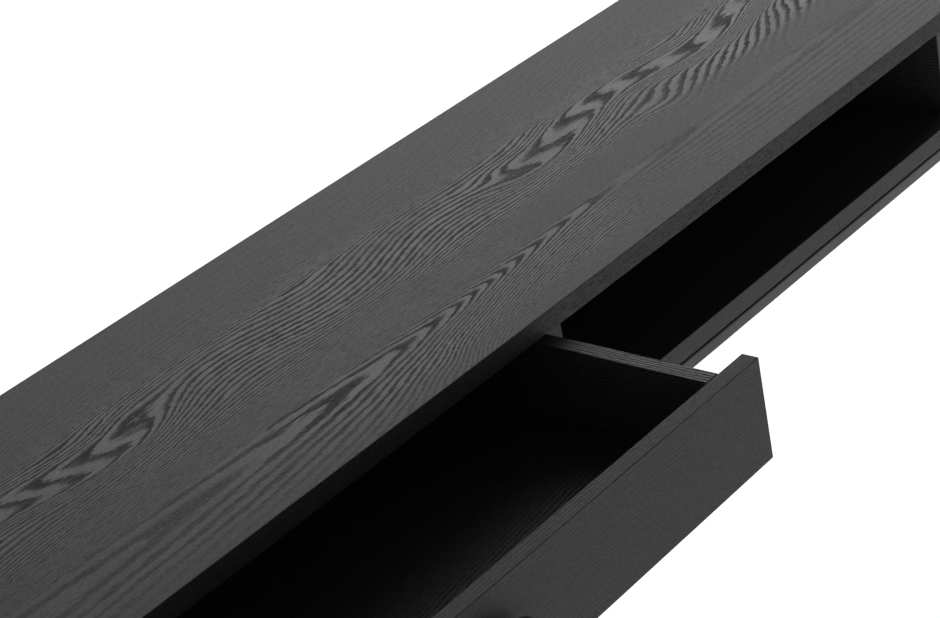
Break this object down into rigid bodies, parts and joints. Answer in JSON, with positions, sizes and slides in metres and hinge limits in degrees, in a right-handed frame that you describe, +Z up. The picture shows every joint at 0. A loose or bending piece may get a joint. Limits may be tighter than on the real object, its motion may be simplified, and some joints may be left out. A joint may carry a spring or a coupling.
{
  "type": "console table",
  "caption": "Long, low console table: a black-stained ash case on a slim steel frame, with a pull-out drawer with a knob on the left and an open niche on the right.",
  "frame": {"origin": "centre of the top's upper face", "axes": "+Z up out of the top, +X along the length towards the open niche, -Y out of the front, where the drawer pulls out"},
  "size_m": [1.25, 0.5473, 0.44],
  "materials": {
    "stained_ash": "open-pore ash veneer, stained black, matt lacquer",
    "black_steel": "fine-texture black powder coat",
    "glide_plastic": "moulded black plastic",
    "gasket_rubber": "black foam rubber strip",
    "slide_zinc": "bright zinc plate",
    "screw_steel": "zinc-plated steel",
    "dowel_beech": "raw beech"
  },
  "bodies": {
    "case": {"back_panel": "stained_ash", "back_rail": "black_steel", "bottom_panel": "stained_ash", "centre_divider": "stained_ash", "frame_gasket": "gasket_rubber", "frame_screw_left_back": "screw_steel", "frame_screw_left_front": "screw_steel", "frame_screw_right_back": "screw_steel", "frame_screw_right_front": "screw_steel", "front_rail": "black_steel", "glide_back_left": "glide_plastic", "glide_back_right": "glide_plastic", "glide_front_left": "glide_plastic", "glide_front_right": "glide_plastic", "left_end_panel": "stained_ash", "left_rail": "black_steel", "leg_back_left": "black_steel", "leg_back_right": "black_steel", "leg_front_left": "black_steel", "leg_front_right": "black_steel", "right_end_panel": "stained_ash", "right_rail": "black_steel", "slide_outer_left": "slide_zinc", "slide_outer_right": "slide_zinc", "slide_screw_back_left": "screw_steel", "slide_screw_back_right": "screw_steel", "slide_screw_front_left": "screw_steel", "slide_screw_front_right": "screw_steel", "top_panel": "stained_ash", "upright_screw_centre_back": "screw_steel", "upright_screw_centre_front": "screw_steel", "upright_screw_left_end_back": "screw_steel", "upright_screw_left_end_front": "screw_steel", "upright_screw_right_end_back": "screw_steel", "upright_screw_right_end_front": "screw_steel"},
    "drawer": {"back_dowel_left": "dowel_beech", "back_dowel_right": "dowel_beech", "drawer_back": "stained_ash", "drawer_floor": "stained_ash", "drawer_front": "stained_ash", "drawer_knob": "black_steel", "drawer_left_side": "stained_ash", "drawer_right_side": "stained_ash", "drawer_screw_back_left": "screw_steel", "drawer_screw_back_right": "screw_steel", "drawer_screw_front_left": "screw_steel", "drawer_screw_front_right": "screw_steel", "front_dowel_lower_left": "dowel_beech", "front_dowel_lower_right": "dowel_beech", "front_dowel_upper_left": "dowel_beech", "front_dowel_upper_right": "dowel_beech", "knob_screw": "screw_steel", "slide_inner_left": "slide_zinc", "slide_inner_right": "slide_zinc"},
    "middle_left": {"slide_middle_left": "slide_zinc"},
    "outer_cage_left": {"ball_cage_outer_left": "slide_zinc"},
    "inner_cage_left": {"ball_cage_inner_left": "slide_zinc"},
    "middle_right": {"slide_middle_right": "slide_zinc"},
    "outer_cage_right": {"ball_cage_outer_right": "slide_zinc"},
    "inner_cage_right": {"ball_cage_inner_right": "slide_zinc"}
  },
  "joints": [
    {"name": "drawer_slide", "type": "slide", "parent": "case", "child": "drawer", "axis": [0, -1, 0], "range_m": [-0.175, 0.115]},
    {"name": "middle_left_slide", "type": "slide", "parent": "case", "child": "middle_left", "axis": [0, -1, 0], "range_m": [-0.0875, 0.0575]},
    {"name": "outer_cage_left_slide", "type": "slide", "parent": "case", "child": "outer_cage_left", "axis": [0, -1, 0], "range_m": [-0.04375, 0.02875]},
    {"name": "inner_cage_left_slide", "type": "slide", "parent": "case", "child": "inner_cage_left", "axis": [0, -1, 0], "range_m": [-0.13125, 0.08625]},
    {"name": "middle_right_slide", "type": "slide", "parent": "case", "child": "middle_right", "axis": [0, -1, 0], "range_m": [-0.0875, 0.0575]},
    {"name": "outer_cage_right_slide", "type": "slide", "parent": "case", "child": "outer_cage_right", "axis": [0, -1, 0], "range_m": [-0.04375, 0.02875]},
    {"name": "inner_cage_right_slide", "type": "slide", "parent": "case", "child": "inner_cage_right", "axis": [0, -1, 0], "range_m": [-0.13125, 0.08625]}
  ],
  "couplings": [
    {"joint": "middle_left_slide", "follows": "drawer_slide", "ratio": 0.5},
    {"joint": "outer_cage_left_slide", "follows": "drawer_slide", "ratio": 0.25},
    {"joint": "inner_cage_left_slide", "follows": "drawer_slide", "ratio": 0.75},
    {"joint": "middle_right_slide", "follows": "drawer_slide", "ratio": 0.5},
    {"joint": "outer_cage_right_slide", "follows": "drawer_slide", "ratio": 0.25},
    {"joint": "inner_cage_right_slide", "follows": "drawer_slide", "ratio": 0.75}
  ]
}
